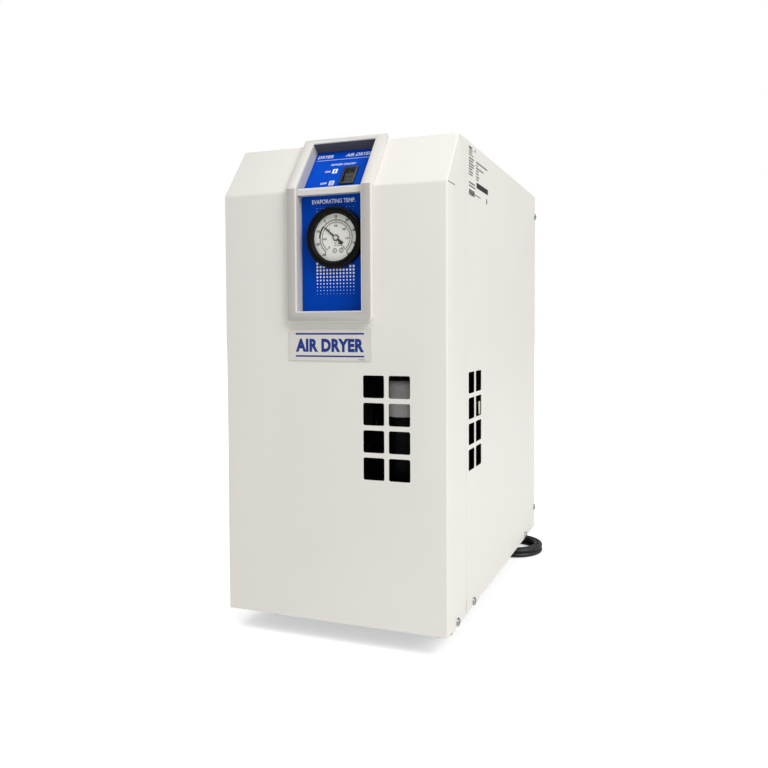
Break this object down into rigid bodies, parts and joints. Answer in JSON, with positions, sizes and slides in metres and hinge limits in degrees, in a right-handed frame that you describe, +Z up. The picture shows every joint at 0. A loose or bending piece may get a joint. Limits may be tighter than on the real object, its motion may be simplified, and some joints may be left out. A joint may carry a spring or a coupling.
{
  "type": "refrigerated air dryer",
  "caption": "Compact refrigerated compressed-air dryer: sheet-metal cabinet with sloped control panel, temperature gauge, rocker switch, vents, rear air ports and mains lead.",
  "frame": {"origin": "on the floor, at the middle of the box round the object without its cord", "axes": "+Z up, front panel towards -Y, vented side towards +X"},
  "size_m": [0.3057, 0.6039, 0.5732],
  "materials": {
    "cabinet_paint": "semi-gloss warm white powder coat",
    "zinc_plate": "zinc plated",
    "bezel_plastic": "fine-textured warm grey moulding",
    "face_blue": "printed blue film with white print",
    "label_silver": "silvery film with two blue lines",
    "black_plastic": "moulded black",
    "gauge_black": "semi-gloss black",
    "switch_black": "semi-gloss black",
    "dial_white": "printed off-white",
    "lens_clear": "clear",
    "rubber": "matt black",
    "compressor_paint": "black enamel",
    "aluminium_fins": "mill finish",
    "cast_aluminium": "cast, satin",
    "black_foam": "closed-cell insulation",
    "copper": "drawn copper tube",
    "brass": "machined",
    "white_plastic": "natural nylon",
    "cord_rubber": "satin black sheath"
  },
  "bodies": {
    "cabinet": {"base_pan": "zinc_plate", "foot_front_left": "rubber", "foot_front_right": "rubber", "foot_rear_left": "rubber", "foot_rear_right": "rubber", "front_panel": "cabinet_paint", "cover_panel": "cabinet_paint", "rear_panel": "cabinet_paint", "screw_right_1": "zinc_plate", "screw_right_2": "zinc_plate", "screw_right_3": "zinc_plate", "screw_right_4": "zinc_plate", "screw_right_5": "zinc_plate", "screw_left_1": "zinc_plate", "screw_left_2": "zinc_plate", "screw_left_3": "zinc_plate", "panel_bezel": "bezel_plastic", "lower_face_plate": "face_blue", "upper_face_plate": "face_blue", "name_plate": "label_silver", "gauge_case": "gauge_black", "gauge_dial": "dial_white", "gauge_lens": "lens_clear", "switch_housing": "switch_black", "compressor_shell": "compressor_paint", "compressor_grommet_1": "rubber", "compressor_grommet_2": "rubber", "compressor_grommet_3": "rubber", "compressor_terminal_cover": "black_plastic", "condenser_coil": "aluminium_fins", "fan_shroud": "zinc_plate", "fan_motor": "compressor_paint", "heat_exchanger": "black_foam", "exchanger_stand": "zinc_plate", "inlet_port": "brass", "outlet_port": "brass", "drain_head": "cast_aluminium", "drain_bowl": "black_plastic", "drain_outlet": "black_plastic", "drain_tube": "white_plastic", "drain_feed_pipe": "black_foam", "electrical_box": "zinc_plate", "run_capacitor": "cast_aluminium", "filter_drier": "copper", "hot_gas_valve": "brass", "bypass_pipe": "copper", "discharge_pipe": "copper", "liquid_pipe": "copper", "capillary_tube": "copper", "suction_pipe": "copper", "cable_gland": "black_plastic", "power_cord": "cord_rubber", "power_cord_coil": "cord_rubber", "power_cord_tail": "cord_rubber", "power_plug": "cord_rubber"},
    "rocker": {"switch_rocker": "switch_black"},
    "pointer": {"gauge_pointer": "gauge_black"},
    "fan": {"fan_blades": "black_plastic"},
    "float": {"drain_float": "white_plastic"},
    "cock": {"drain_cock": "black_plastic"}
  },
  "joints": [
    {"name": "rocker_tilt", "type": "hinge", "parent": "cabinet", "child": "rocker", "pos_m": [0.013, -0.23078, 0.52519], "axis": [1, 0, 0], "range_deg": [-16, 0]},
    {"name": "pointer_turn", "type": "hinge", "parent": "cabinet", "child": "pointer", "pos_m": [0.0039, -0.2545, 0.455], "axis": [0, 1, 0], "range_deg": [-85, 185]},
    {"name": "fan_spin", "type": "hinge", "parent": "cabinet", "child": "fan", "pos_m": [-0.02, 0.1665, 0.14], "axis": [0, 1, 0], "continuous": true},
    {"name": "float_rise", "type": "slide", "parent": "cabinet", "child": "float", "axis": [0, 0, 1], "range_m": [0, 0.012]},
    {"name": "cock_turn", "type": "hinge", "parent": "cabinet", "child": "cock", "pos_m": [0.072, -0.208, 0.155], "axis": [0, 0, 1], "range_deg": [0, 90]}
  ]
}
